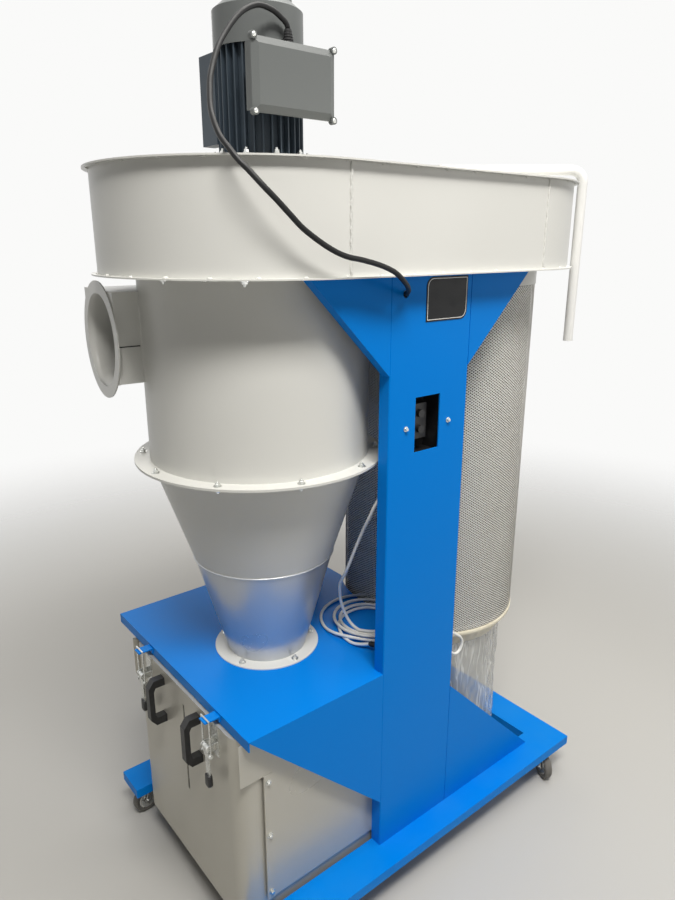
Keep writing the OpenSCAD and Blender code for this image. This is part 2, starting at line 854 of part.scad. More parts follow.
// Dust bin
slot_y = -15;
slot_w = 9;
slot_low = 312;
slot_h = 242;

rim_w = seal_in + seal_w + 2;

module dust_bin() {
    h = bin_top - bin_z;
    color(bin_grey) translate([bin_x, 0, bin_z]) difference() {
        linear_extrude(h) round_rect(bin_l, 2 * bin_half, bin_corner);
        translate([0, 0, skin]) linear_extrude(h)
            translate([skin, 0]) round_rect(bin_l - 2 * skin, 2 * bin_half - 2 * skin, bin_corner - skin);
        translate([-1, slot_y - slot_w / 2, slot_low - bin_z]) cube([skin + 2, slot_w, slot_h]);
    }
}

// Rim at the top of the bin's wall, which the seal stands over
module bin_rim() {
    color(bin_grey) translate([bin_x, 0, bin_top - skin]) linear_extrude(skin) difference() {
        translate([skin, 0]) round_rect(bin_l - 2 * skin, 2 * bin_half - 2 * skin, bin_corner - skin);
        translate([rim_w, 0]) round_rect(bin_l - 2 * rim_w, 2 * bin_half - 2 * rim_w, bin_corner - rim_w);
    }
}

module sight_strip() {
    color([0.25, 0.27, 0.25]) translate([bin_x + skin, slot_y - slot_w, slot_low - 8])
        cube([2, 2 * slot_w, slot_h + 16]);
}

bin_wheel_r = 27;
bin_wheel_in = 60;
bin_plate_w = 56;

module bin_castors() {
    side_y = bin_half - bin_wheel_in - 9;
    color("dimgray") for (x = [bin_x + bin_wheel_in, bin_x + bin_l - bin_wheel_in], y = [-side_y, side_y]) translate([x, y, 0]) {
        translate([-bin_plate_w / 2, -bin_plate_w / 2, bin_z - 3]) cube([bin_plate_w, bin_plate_w, 3]);
        for (side = [-14, 11]) upright(side, 3)
            polygon([[-12, bin_z - 3], [12, bin_z - 3], [20, bin_wheel_r + 4], [8, bin_wheel_r + 4]]);
        translate([14, 14, bin_wheel_r + 4]) rotate([90, 0, 0]) cylinder(r = 4, h = 28, $fn = small);
        translate([14, 9, bin_wheel_r + 4]) rotate([90, 0, 0]) cylinder(r = bin_wheel_r, h = 18, $fn = small);
    }
}

handle_h = 124;
handle_z = 513;
handle_out = 42;
handle_t = 13;

module bin_handles() {
    color("black") for (y = [-handle_y, handle_y]) {
        upright(y - 10, 20) translate([bin_x, handle_z]) difference() {
            polygon([[0, -handle_h / 2], [-handle_out + 14, -handle_h / 2], [-handle_out, -handle_h / 2 + 18],
                [-handle_out, handle_h / 2 - 18], [-handle_out + 14, handle_h / 2], [0, handle_h / 2]]);
            polygon([[1, -handle_h / 2 + 20], [-handle_out + 18, -handle_h / 2 + 20],
                [-handle_out + handle_t, -handle_h / 2 + 30], [-handle_out + handle_t, handle_h / 2 - 30],
                [-handle_out + 18, handle_h / 2 - 20], [1, handle_h / 2 - 20]]);
        }
    }
}

// Toggle latches
latch_pin = 3;
latch_base_h = 76;
latch_base_drop = 32;
ear_gap = 11;
ear_t = 2;

module latch_base(y) {
    translate([bin_x - 2, y - 15, latch_pivot_z - latch_base_drop]) cube([2, 30, latch_base_h]);
    for (side = [-ear_gap - ear_t, ear_gap]) upright(y + side, ear_t) {
        translate([bin_x - latch_out, latch_pivot_z - 8]) square([latch_out - 1, 16]);
        translate([bin_x - latch_out, latch_pivot_z]) circle(8, $fn = small);
    }
    translate([bin_x - latch_out, y + ear_gap + ear_t, latch_pivot_z]) rotate([90, 0, 0])
        cylinder(r = latch_pin, h = 2 * (ear_gap + ear_t), $fn = small);
}

module latch_bases() {
    color("silver") for (y = [-latch_y, latch_y]) latch_base(y);
}

lever_l = 104;
grip_l = 26;

module latch_lever(y) {
    x = bin_x - latch_out;
    half = ear_gap - 1;
    color("silver") {
        difference() {
            union() {
                translate([x, y + half, latch_pivot_z]) rotate([90, 0, 0]) cylinder(r = 6, h = 2 * half, $fn = small);
                translate([x - 3, y - half, latch_pivot_z - latch_throw - 6]) cube([6, 2 * half, latch_throw + 2]);
                translate([x - 2, y - 7, latch_pivot_z - lever_l]) cube([4, 14, lever_l - latch_throw]);
                translate([x - 4.5, y - 9, latch_pivot_z - lever_l]) cube([9, 18, grip_l]);
            }
            translate([x, y + half + 1, latch_pivot_z]) rotate([90, 0, 0])
                cylinder(r = latch_pin + run, h = 2 * half + 2, $fn = small);
        }
        translate([x, y + bail_half + 3.5, latch_pivot_z - latch_throw]) rotate([90, 0, 0])
            cylinder(r = 2.5, h = 2 * bail_half + 7, $fn = small);
    }
}

module latch_bail(y) {
    x = bin_x - latch_out;
    low = latch_pivot_z - latch_throw;
    color("silver") {
        for (s = [-1, 1]) difference() {
            union() {
                translate([x, y + s * bail_half + 1.5, low]) rotate([90, 0, 0]) cylinder(r = 5, h = 3, $fn = small);
                translate([x, y + s * bail_half, low + 3]) cylinder(r = bail_wire, h = bail_top - low - 3, $fn = 16);
            }
            translate([x, y + s * bail_half + 3, low]) rotate([90, 0, 0])
                cylinder(r = 2.5 + run, h = 6, $fn = small);
        }
        translate([x, y + bail_half + bail_wire, bail_top]) rotate([90, 0, 0])
            cylinder(r = bail_wire, h = 2 * (bail_half + bail_wire), $fn = small);
    }
}

// Mains lead: down behind the post, wound in loose loops on the table, with its plug beside them
lead_r = 4;
coil_x = -48;
coil_y = -64;
coil_half = 38;
coil_out = 84;
coil_in = 52;
coil_h = 24;

mains_lead_route = [
    [lead_x, lead_y, lead_top - 0.2], [lead_x - 2, lead_y + 1, lead_top - 20], [-88, -256, 1086],
    [-128, -252, 1062], [-150, -245, 1030], [-152, -225, 990], [-148, -200, 950], [-148, -170, 890],
    [-152, -145, 830], [-160, -128, 770], [-162, -118, 720], [-156, -112, 680], [-142, -108, 652],
    [-127, -104, 641]
];

module mains_lead() {
    color("white") cord(mains_lead_route, lead_r, 8, 2);
}

module lead_coil() {
    color("white") translate([coil_x, coil_y, table_z + 0.3]) linear_extrude(coil_h) difference() {
        union() {
            for (s = [-coil_half, coil_half]) translate([0, s]) circle(coil_out);
            translate([-coil_out, -coil_half]) square([2 * coil_out, 2 * coil_half]);
        }
        for (s = [-coil_half, coil_half]) translate([0, s]) circle(coil_in);
        translate([-coil_in, -coil_half]) square([2 * coil_in, 2 * coil_half]);
    }
}

// The coil's longest turn reaches past the table's end and hangs over it
lead_bight_route = [
    [28, -128, 632], [52, -176, 630], [78, -216, 632], [102, -238, 622], [124, -246, 604], [152, -248, 580],
    [172, -247, 556], [174, -246, 538], [157, -246, 532], [132, -247, 549], [114, -250, 583], [104, -247, 611],
    [91, -241, 629], [70, -229, 633], [44, -204, 629], [18, -140, 629]
];

module lead_bight() {
    color("white") cord(lead_bight_route, lead_r, 8, 1);
}

module mains_plug() {
    color("black") translate([-122, -222, table_z + 0.3]) {
        translate([0, 0, 18]) rotate([0, 90, 0]) cylinder(r = 18, h = 46, $fn = small);
        translate([-14, 0, 18]) rotate([0, 90, 0]) cylinder(r = 9, h = 14, $fn = small);
    }
}

base_front_rail();
base_rear_rail();
base_cross_rail();
castor_plates();
castor_fork(0);  // castor_fork_1
castor_fork(1);  // castor_fork_2
castor_fork(2);  // castor_fork_3
castor_fork(3);  // castor_fork_4
castor_wheel(0);  // castor_wheel_1
castor_wheel(1);  // castor_wheel_2
castor_wheel(2);  // castor_wheel_3
castor_wheel(3);  // castor_wheel_4
front_post();
rear_post();
upper_gussets();
lower_gussets();
rating_plate();
switch_box();
table_top();
table_lips();
latch_catches();
side_panels();
bin_seal();
housing_wall();
housing_top();
housing_floor();
cyclone_barrel();
cyclone_cone();
cone_tip();
outlet_ring();
inlet_spigot();
inlet_duct();
vortex_tube();
motor_body();
motor_cowl();
terminal_box();
terminal_lid();
cable_gland();
motor_cable();
filter_core();
filter_mesh();
filter_collar();
filter_cuff();
dust_bag();
crank_handle();
dust_bin();
bin_rim();
sight_strip();
bin_castors();
bin_handles();
latch_bases();
latch_lever(-latch_y);  // latch_lever_front
latch_lever(latch_y);  // latch_lever_rear
latch_bail(-latch_y);  // latch_bail_front
latch_bail(latch_y);  // latch_bail_rear
mains_lead();
lead_coil();
lead_bight();
mains_plug();
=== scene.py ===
# %% [markdown]
# # A cyclone dust extractor
# The machine stands on a plain floor: a fan housing with a motor on top, a cyclone and
# a pleated filter under it, blue folded steel around them and a dust bin that slides out.
# The rigid pieces come from the CAD frame and keep their shapes. Here they get their
# paints and metals, and what CAD leaves plain is made as new surfaces: cords, mesh,
# cloth, film, bolts and weld beads.

# %% Load the frame
import json
import math

import bpy
import numpy as np
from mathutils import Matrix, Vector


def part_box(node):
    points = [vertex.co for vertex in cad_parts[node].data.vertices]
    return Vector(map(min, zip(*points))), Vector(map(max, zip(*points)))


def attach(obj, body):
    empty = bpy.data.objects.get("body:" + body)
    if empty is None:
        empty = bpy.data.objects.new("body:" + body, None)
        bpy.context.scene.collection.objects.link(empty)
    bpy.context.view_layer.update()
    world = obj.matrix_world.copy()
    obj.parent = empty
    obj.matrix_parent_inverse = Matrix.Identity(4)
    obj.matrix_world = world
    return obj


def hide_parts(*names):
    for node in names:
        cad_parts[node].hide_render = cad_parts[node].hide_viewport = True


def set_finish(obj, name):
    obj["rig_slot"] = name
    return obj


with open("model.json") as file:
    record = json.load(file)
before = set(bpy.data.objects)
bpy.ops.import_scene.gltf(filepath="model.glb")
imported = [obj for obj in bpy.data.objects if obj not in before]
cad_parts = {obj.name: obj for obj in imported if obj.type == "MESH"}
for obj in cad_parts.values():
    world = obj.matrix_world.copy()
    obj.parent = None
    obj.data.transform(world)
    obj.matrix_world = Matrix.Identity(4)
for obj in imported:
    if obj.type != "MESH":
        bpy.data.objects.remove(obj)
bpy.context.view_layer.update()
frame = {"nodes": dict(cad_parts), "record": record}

# %% [markdown]
# ## The measures that the pieces share
# All are in metres, in the frame of the CAD model: the origin is on the floor, midway
# between the cyclone's axis and the filter's axis.

# %% Measures
CYCLONE_X, FILTER_X, MOTOR_X = -0.292, 0.292, -0.266
HOUSING_LOW, HOUSING_HIGH, HOUSING_R = 1.533, 1.737, 0.325
PLATE, RING_T, MOTOR_FLANGE = 0.003, 0.0025, 0.012
BARREL_LOW, BARREL_R = 1.131, 0.251
TABLE_Z, POST_FRONT = 0.622, -0.297
BIN_X, PANEL_Y = -0.540, 0.266
MESH_R, MESH_LOW, MESH_HIGH = 0.250, 0.570, 1.493
BAG_R, BAG_LOW, BAG_TOP, CUFF_LOW = 0.2290, 0.1335, 0.5157, 0.5165
CASTOR_X, CASTOR_Y = 0.5, 0.3155
UP, DOWN = (0, 0, 1), (0, 0, -1)
TURN = 2 * math.pi
print("housing from x", CYCLONE_X - HOUSING_R, "to", FILTER_X + HOUSING_R)

# %% [markdown]
# ## The camera
# The photograph looks down a little at the switch side, from the height of a person's
# eyes. A lens is given by its focal length and the size of the sensor behind it, and the
# sensor's long side is upright here because the picture is.

# %% Camera
from mathutils import Vector

EYE = Vector((-1.132, -1.324, 1.600))
LOOK = Vector((0.602, 0.744, -0.289))
lens = bpy.data.cameras.new("portrait_lens")
lens.sensor_fit, lens.sensor_height, lens.lens = "VERTICAL", 36.0, 27.76
camera = bpy.data.objects.new("portrait_camera", lens)
camera.location = EYE
camera.rotation_euler = LOOK.to_track_quat("-Z", "Y").to_euler()
bpy.context.scene.collection.objects.link(camera)
bpy.context.scene.camera = camera
print("camera at", tuple(EYE))

# %% [markdown]
# ## From arrays to meshes
# A surface is a grid of points worked out by a formula. The grid's own order says which
# points are neighbours, so its faces are also worked out as one array.

# %% Grids to meshes
def mesh_object(name, points, faces, smooth=True):
    """Makes one mesh object at the origin out of an array of points and a list of faces."""
    mesh = bpy.data.meshes.new(name)
    mesh.from_pydata(np.asarray(points, float).tolist(), [], [list(map(int, f)) for f in faces])
    mesh.polygons.foreach_set("use_smooth", np.full(len(mesh.polygons), smooth))
    mesh.validate()
    piece = bpy.data.objects.new(name, mesh)
    bpy.context.scene.collection.objects.link(piece)
    return piece


def grid_faces(rows, columns, round_rows=False, round_columns=False):
    """Quads of a grid: point (i, j) has the number i * columns + j, and a round way joins its ends."""
    i, j = np.meshgrid(np.arange(rows - (not round_rows)), np.arange(columns - (not round_columns)), indexing="ij")
    i2, j2 = (i + 1) % rows, (j + 1) % columns
    quads = np.stack([i * columns + j, i * columns + j2, i2 * columns + j2, i2 * columns + j], -1)
    return quads.reshape(-1, 4)


def grid_object(name, points, round_rows=False, round_columns=False, ends=False, smooth=True):
    """A surface from a grid of points of shape (rows, columns, 3). ends closes the first and last row."""
    rows, columns = points.shape[:2]
    faces = grid_faces(rows, columns, round_rows, round_columns).tolist()
    if ends:
        faces.append(list(range(columns))[::-1])
        faces.append(list(range((rows - 1) * columns, rows * columns)))
    return mesh_object(name, points.reshape(-1, 3), faces, smooth)


def joined(name, parts, smooth=True):
    """One object out of several (points, faces) pairs, each with its own numbering."""
    start, points, faces = 0, [], []
    for p, f in parts:
        points.append(p)
        faces += [[start + k for k in face] for face in f]
        start += len(p)
    return mesh_object(name, np.concatenate(points), faces, smooth)


def around(z_axis):
    """Two unit vectors square to z_axis and to each other."""
    z = np.asarray(z_axis, float) / np.linalg.norm(z_axis)
    x = np.cross((0, 1, 0) if abs(z[1]) < 0.9 else (1, 0, 0), z)
    x /= np.linalg.norm(x)
    return x, np.cross(z, x), z


def lathe(profile, centre, axis=UP, sides=24, turn=0.0):
    """A revolved profile: point (r, h) goes to centre + h * axis + r * (cos a, sin a) across the axis.
    Its ends are closed, and its faces point outwards when h grows along the profile."""
    x, y, z = around(axis)
    a = turn + np.arange(sides) * TURN / sides
    r, h = np.asarray(profile, float).T
    ring = np.cos(a)[:, None] * x + np.sin(a)[:, None] * y
    points = np.asarray(centre) + h[:, None, None] * z + r[:, None, None] * ring
    faces = grid_faces(len(r), sides, round_columns=True).tolist()
    faces.append(list(range(sides))[::-1])
    faces.append(list(range((len(r) - 1) * sides, len(r) * sides)))
    return points.reshape(-1, 3), faces


def ride_and_slot(piece, body, slot, *replaced):
    """Puts a piece on its body, names its slot and hides the CAD nodes that it stands for."""
    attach(piece, body)
    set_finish(piece, slot)
    if replaced:
        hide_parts(*replaced)
    return piece


print("helpers ready")

# %% [markdown]
# ## Cords
# A cord is a tube along a smooth line. The line runs through chosen points by the
# Catmull-Rom formula, in which each stretch is a cubic that leaves its first point along
# the chord of its neighbours. The tube's rings are turned as little as possible from one
# to the next, so that the cord doesn't twist.

# %% Lines and tubes
def smooth_line(route, step=0.006):
    """Catmull-Rom curve through the route's points, sampled again at equal steps of length."""
    p = np.asarray(route, float)
    p = np.vstack([2 * p[0] - p[1], p, 2 * p[-1] - p[-2]])
    t = np.linspace(0, 1, 24, endpoint=False)[:, None]
    a, b, c, d = (p[k:len(p) - 3 + k, None] for k in range(4))
    curve = 0.5 * (2 * b + (c - a) * t + (2 * a - 5 * b + 4 * c - d) * t**2 + (3 * b - a - 3 * c + d) * t**3)
    curve = np.vstack([curve.reshape(-1, 3), p[-2]])
    return evenly(curve, step)


def evenly(curve, step):
    """The same line with its points at equal steps of length."""
    run = np.concatenate([[0], np.cumsum(np.linalg.norm(np.diff(curve, axis=0), axis=1))])
    at = np.linspace(0, run[-1], max(3, int(round(run[-1] / step)) + 1))
    return np.stack([np.interp(at, run, curve[:, k]) for k in range(3)], 1)


def line_length(line):
    return float(np.linalg.norm(np.diff(line, axis=0), axis=1).sum())


def swept(line, radius, sides=12, section=None):
    """Rings of a tube along a line: each ring is turned by parallel transport from the one before.
    radius is a number or one number for each point; section gives another outline as (x, y) pairs."""
    line = np.asarray(line, float)
    along = np.gradient(line, axis=0)
    along /= np.linalg.norm(along, axis=1)[:, None]
    side = np.empty_like(line)
    side[0] = around(along[0])[0]
    for k in range(1, len(line)):
        v = side[k - 1] - along[k] * (side[k - 1] @ along[k])
        side[k] = v / np.linalg.norm(v)
    up = np.cross(along, side)
    if section is None:
        a = np.arange(sides) * TURN / sides
        section = np.stack([np.cos(a), np.sin(a)], 1)
    section = np.asarray(section, float)
    r = np.broadcast_to(np.asarray(radius, float), (len(line),))[:, None, None]
    return line[:, None] + r * (section[:, 0][:, None] * side[:, None] + section[:, 1][:, None] * up[:, None])


def tube_part(line, radius, sides=12, section=None):
    """Points and faces of a closed tube along a line."""
    rings = swept(line, radius, sides, section)
    rows, columns = rings.shape[:2]
    faces = grid_faces(rows, columns, round_columns=True).tolist()
    faces.append(list(range(columns))[::-1])
    faces.append(list(range((rows - 1) * columns, rows * columns)))
    return rings.reshape(-1, 3), faces


print("lines and tubes ready")

# %% [markdown]
# The black motor cable leaves the gland on the terminal box, rises in a bow, drops
# beside the motor, crosses the housing's edge and enters the hole at the top of the post.

# %% Motor cable
CABLE_R = 0.005
MOTOR_CABLE = np.array([
    (-266, -104, 1984), (-266.5, -104, 1988.5), (-270.5, -104, 1994.2), (-280, -104, 2000.5), (-301, -105, 2010),
    (-334, -108, 2012), (-368, -115, 1997), (-395, -124, 1976), (-422, -135, 1948), (-445, -148, 1921),
    (-465, -163, 1890), (-482, -180, 1861), (-493, -196, 1836), (-504, -216, 1808), (-511, -238, 1784),
    (-512, -257, 1761), (-508, -275, 1743), (-500, -292, 1723), (-490, -303, 1709), (-474, -318, 1686),
    (-454, -328, 1664), (-433, -336, 1641), (-408, -342, 1617), (-367, -350, 1590), (-329, -353, 1574),
    (-286, -353, 1566), (-240, -353, 1555), (-201, -349, 1541), (-167, -340, 1521), (-140, -321, 1507),
    (-126, -303, 1498), (-122, -288, 1496)]) / 1000
cable_line = smooth_line(MOTOR_CABLE)
motor_cable = joined("motor_cable_cord", [tube_part(cable_line, CABLE_R, 16)])
ride_and_slot(motor_cable, "machine", "cable_black", "motor_cable")
print("motor cable", round(line_length(cable_line), 3), "m")

# %% [markdown]
# The white mains lead drops behind the post and lies on the table in loose turns, some
# wide and some narrow. Before its last turn it hangs over the table's end in a bight, and
# then it runs out from under the others to its plug. In the turns every point is on an
# ellipse whose centre, radii and height are those of its turn on the open side, and pass
# smoothly from one turn's to the next's behind the post.

# %% Mains lead
LEAD_R = 0.004
LEAD_DROP = np.array([
    (-60, -262, 1128.8), (-62, -261, 1109), (-88, -256, 1086), (-128, -252, 1062), (-150, -245, 1030),
    (-152, -225, 990), (-148, -200, 950), (-149, -172, 890), (-151, -146, 830), (-147, -118, 785),
    (-138, -105, 748), (-127, -98, 712), (-113, -100, 673), (-105, -112, 651)])
# Centre x and y, radii across and along, height: one row for each turn
TURNS = np.array([(-30, -100, 77, 80, 642.5), (-28, -94, 91, 97, 634.5), (-36, -100, 72, 80, 634.5),
                  (-25, -78, 121, 122, 626.4)])
LEAD_BIGHT = np.array([
    (-10, -205, 627), (30, -213, 629), (62, -226, 632), (88, -240, 630), (104, -247, 611), (113, -249, 583),
    (124, -248, 552), (139, -247, 532), (157, -246, 525), (172, -246, 534), (176, -247, 554), (166, -247, 572),
    (148, -247, 587), (124, -246, 605), (103, -238, 623), (82, -216, 632), (62, -178, 630), (52, -130, 627),
    (40, -82, 626.4), (8, -42, 626.4), (-35, -28, 626.4), (-80, -40, 626.4), (-112, -70, 626.4),
    (-131, -105, 626.4), (-137, -137, 626.6), (-136, -160, 629), (-130, -180, 634), (-118, -200, 640.3)])


def lead_turns(turns, first, last, step=9.0):
    """x = cx + rx cos(a), y = cy + ry sin(a). The row is a turn's own from 60 to 260 degrees of it,
    and moves on to the next row by a smooth step in the hidden 160 degrees between. Within 45
    degrees of the place where the tail runs out below, the last turn rises over it by 8.5 mm."""
    a = np.arange(first, last, step)
    turn, inside = np.divmod(a - 60, 360)
    share = np.clip((inside - 200) / 160, 0, 1)
    share = share**2 * (3 - 2 * share)
    here = np.clip(turn.astype(int) + 1, 0, len(turns) - 1)
    row = turns[here] + share[:, None] * (turns[np.clip(here + 1, 0, len(turns) - 1)] - turns[here])
    over_tail = np.clip(1 - np.abs(a - last + 50) / 45, 0, 1)
    z = row[:, 4] + 8.5 * over_tail**2 * (3 - 2 * over_tail)
    x = row[:, 0] + row[:, 2] * np.cos(np.radians(a))
    y = row[:, 1] + row[:, 3] * np.sin(np.radians(a))
    return np.stack([x, y, z], 1)


wound = lead_turns(TURNS, 205 - 360, 260 + 720)
lead_line = smooth_line(np.vstack([LEAD_DROP, wound, LEAD_BIGHT]) / 1000, 0.005)
mains_lead = joined("mains_lead_cord", [tube_part(lead_line, LEAD_R, 10)])
ride_and_slot(mains_lead, "machine", "lead_white", "mains_lead", "lead_coil", "lead_bight")
print("mains lead", round(line_length(lead_line), 3), "m, its turns end at", wound[-1].round())

# %% [markdown]
# The plug is a moulded body that narrows to its strain relief, with two pins.

# %% Plug
PLUG_AXIS, PLUG_SIDE = np.array((0.6, -0.8, 0.0)), np.array((0.8, 0.6, 0))
PLUG_NECK = lead_line[-1]
body_profile = [(0.0042, -0.004), (0.0062, 0), (0.0070, 0.010), (0.0095, 0.013), (0.0150, 0.0145),
                (0.0172, 0.018), (0.0178, 0.030), (0.0178, 0.046), (0.0170, 0.057), (0.0155, 0.060)]
rib_profile = [(0.0056, 0), (0.0078, 0.0006), (0.0078, 0.0020), (0.0056, 0.0026)]
pin_profile = [(0.0024, 0.058), (0.0024, 0.077), (0.0014, 0.079)]
ribs = [lathe(rib_profile, PLUG_NECK + (0.001 + 0.004 * k) * PLUG_AXIS, PLUG_AXIS, 16) for k in range(3)]
pins = [lathe(pin_profile, PLUG_NECK + side * 0.0095 * PLUG_SIDE, PLUG_AXIS, 12) for side in (-1, 1)]
plug = joined("plug_body", [lathe(body_profile, PLUG_NECK, PLUG_AXIS, 28)] + ribs + pins)
ride_and_slot(plug, "machine", "black_plastic", "mains_plug")
print("plug at", PLUG_NECK.round(3))

# %% [markdown]
# ## Shader sums as Python
# A shader tree is easier to read as a formula. A Wire holds one socket, and each
# operator between wires, or a wire and a number, adds one Math node. A Finish holds one
# material, and its one method makes any other node from its type, its settings and the
# values of its sockets.

# %% Wires and finishes
class Wire:
    """One output socket that Python can calculate with."""

    def __init__(self, finish, socket):
        self.finish, self.socket = finish, socket

    def __add__(self, other): return self.finish.sum_up("ADD", self, other)
    def __sub__(self, other): return self.finish.sum_up("SUBTRACT", self, other)
    def __mul__(self, other): return self.finish.sum_up("MULTIPLY", self, other)
    def __truediv__(self, other): return self.finish.sum_up("DIVIDE", self, other)
    def __rsub__(self, other): return self.finish.sum_up("SUBTRACT", other, self)
    __radd__, __rmul__ = __add__, __mul__

    def size(self): return self.finish.sum_up("ABSOLUTE", self, 0.0)
    def sine(self): return self.finish.sum_up("SINE", self, 0.0)

    def between(self, low, high):
        """0 below low, 1 above high and a smooth step between."""
        return self.finish.node("ShaderNodeMapRange", {"interpolation_type": "SMOOTHSTEP"},
                                {"Value": self, "From Min": low, "From Max": high})


class Finish:
    """One material: a Principled shader whose sockets take numbers, colours or wires."""

    def __init__(self, name, **sockets):
        self.material = bpy.data.materials.new(name)
        self.material.use_nodes = True
        self.tree = self.material.node_tree
        self.shader = self.tree.nodes["Principled BSDF"]
        self.object = self.node("ShaderNodeTexCoord", out="Object")
        self.set(**sockets)

    def node(self, kind, settings=None, inputs=None, out=0):
        """Any node: its settings first, a ramp's stops too, then its sockets by name or number."""
        made = self.tree.nodes.new(kind)
        for key, value in (settings or {}).items():
            if key == "stops":
                ramp = made.color_ramp.elements
                while len(ramp) < len(value):
                    ramp.new(0.5)
                for stop, (place, colour) in zip(ramp, value):
                    stop.position, stop.color = place, (*colour, 1.0)
            else:
                setattr(made, key, value)
        for key, value in (inputs or {}).items():
            self.feed(made.inputs[key], value)
        return Wire(self, made.outputs[out])

    def feed(self, socket, value):
        if isinstance(value, Wire):
            self.tree.links.new(value.socket, socket)
        elif isinstance(value, tuple) and len(value) == 3 and socket.type == "RGBA":
            socket.default_value = (*value, 1.0)
        else:
            socket.default_value = value

    def set(self, **sockets):
        for key, value in sockets.items():
            self.feed(self.shader.inputs[key.replace("_", " ").title().replace("Ior", "IOR")], value)
        return self

    def sum_up(self, operation, a, b):
        return self.node("ShaderNodeMath", {"operation": operation}, {0: a, 1: b})

    def noise(self, scale, detail=3.0, rough=0.5, stretch=(1, 1, 1)):
        """Soft noise of about 0.3 to 0.7, with its patches 1 / scale metres wide."""
        place = self.node("ShaderNodeMapping", inputs={"Vector": self.object, "Scale": stretch})
        return self.node("ShaderNodeTexNoise",
                         inputs={"Vector": place, "Scale": scale, "Detail": detail, "Roughness": rough})

    def mix(self, share, first, second):
        """A colour between two colours."""
        return self.node("ShaderNodeMix", {"data_type": "RGBA"}, {0: share, 6: first, 7: second}, out=2)

    def bump(self, height, strength=0.2, distance=0.001, normal=None):
        inputs = {"Height": height, "Strength": strength, "Distance": distance}
        if normal is not None:
            inputs["Normal"] = normal
        return self.node("ShaderNodeBump", inputs=inputs, out="Normal")

    def along(self, axis):
        """One Object coordinate as a wire."""
        return self.node("ShaderNodeSeparateXYZ", inputs={0: self.object}, out="XYZ".index(axis))


def shade(red, green, blue):
    """A colour as a screen shows it, 0 to 255, as the linear numbers that a shader wants."""
    c = np.array((red, green, blue)) / 255
    return tuple(float(x) for x in np.where(c <= 0.04045, c / 12.92, ((c + 0.055) / 1.055) ** 2.4))


FINISHES = {}
print("finish tools ready")

# %% [markdown]
# ## Painted steel
# The sheet parts are powder coated. Powder melts into a skin with a fine orange peel: the
# gloss breaks up, but the colour is even. Handling and dust dull it in wide soft patches,
# and low parts carry more dust. So the colour is one value that soft noise moves a little,
# and the peel is a bump a millimetre or two wide.

# %% Powder coats
def powder_coat(name, colour, dusty, rough=0.36, peel=0.10, dust_height=0.0, vary=0.06):
    """Even colour, wide dull patches, fine peel, and dust that thins out with height."""
    f = Finish(name)
    patches = f.noise(3.1, 1.5, 0.4).between(0.25, 0.78)
    specks = f.noise(140, 2, 0.5).between(0.62, 0.80)
    dust = patches * vary + specks * 0.03
    if dust_height:
        low = 1 - (f.along("Z") / dust_height).between(0.0, 1.0)
        dust = dust + low * f.noise(9, 2, 0.5).between(0.30, 0.80) * 0.35
    skin = f.noise(620, 1.5, 0.4)
    waves = f.noise(45, 1.0, 0.3)
    f.set(base_color=f.mix(dust, colour, dusty), roughness=rough + patches * 0.10 + dust * 0.25,
          normal=f.bump(skin + waves * 0.6, peel, 0.0006), specular_ior_level=0.3)
    FINISHES[name] = f
    return f


blue = powder_coat("blue_paint", shade(0, 124, 217), shade(48, 136, 206), rough=0.32, dust_height=0.30, vary=0.03)
blue.set(specular_ior_level=0.12, specular_tint=(0.30, 0.62, 1.0))
powder_coat("pale_paint", shade(216, 216, 212), shade(200, 198, 190), rough=0.30, peel=0.12, vary=0.05)
bins = powder_coat("bin_paint", shade(190, 187, 177), shade(168, 164, 152), rough=0.26, peel=0.06, dust_height=0.25)
bins.set(metallic=0.35)
steel = powder_coat("bare_steel", shade(196, 199, 203), shade(178, 182, 186), rough=0.26, peel=0.04)
steel.set(metallic=0.5)
powder_coat("crank_paint", shade(234, 234, 232), shade(208, 207, 202), rough=0.26, peel=0.06)
powder_coat("motor_paint", shade(90, 93, 93), shade(112, 115, 113), rough=0.28, peel=0.22, vary=0.15)
# The finned casting's colours are darker than the lids' paint: painted shade that stands for the shade among the fins
powder_coat("motor_casting_painted_shade", shade(50, 60, 70), shade(78, 86, 92), rough=0.40, peel=0.35, vary=0.25)
print(len(FINISHES), "paints")

# %% [markdown]
# ## Metals, plastics, rubber and paper
# Zinc plating is bright but blotchy, so its roughness wanders more than its colour.
# Moulded plastic and rubber are nearly black, and only their fine grain shows.

# %% Other finishes
def zinc_plate(name, colour, rough):
    f = Finish(name, metallic=1.0)
    blotch = f.noise(85, 4, 0.6).between(0.35, 0.70)
    grain = f.noise(900, 2, 0.5, stretch=(1, 1, 0.15))
    f.set(base_color=f.mix(blotch * 0.5, colour, shade(150, 152, 148)), roughness=rough + blotch * 0.16,
          normal=f.bump(grain, 0.12, 0.0003))
    FINISHES[name] = f


def moulded(name, colour, bloom, rough, grain_scale=1400, grain=0.25, gloss=0.5):
    f = Finish(name, specular_ior_level=gloss)
    patch = f.noise(38, 4, 0.6).between(0.45, 0.75)
    grit = f.noise(grain_scale, 2, 0.6)
    f.set(base_color=f.mix(patch * 0.35, colour, bloom), roughness=rough + patch * 0.12,
          normal=f.bump(grit, grain, 0.0004))
    FINISHES[name] = f


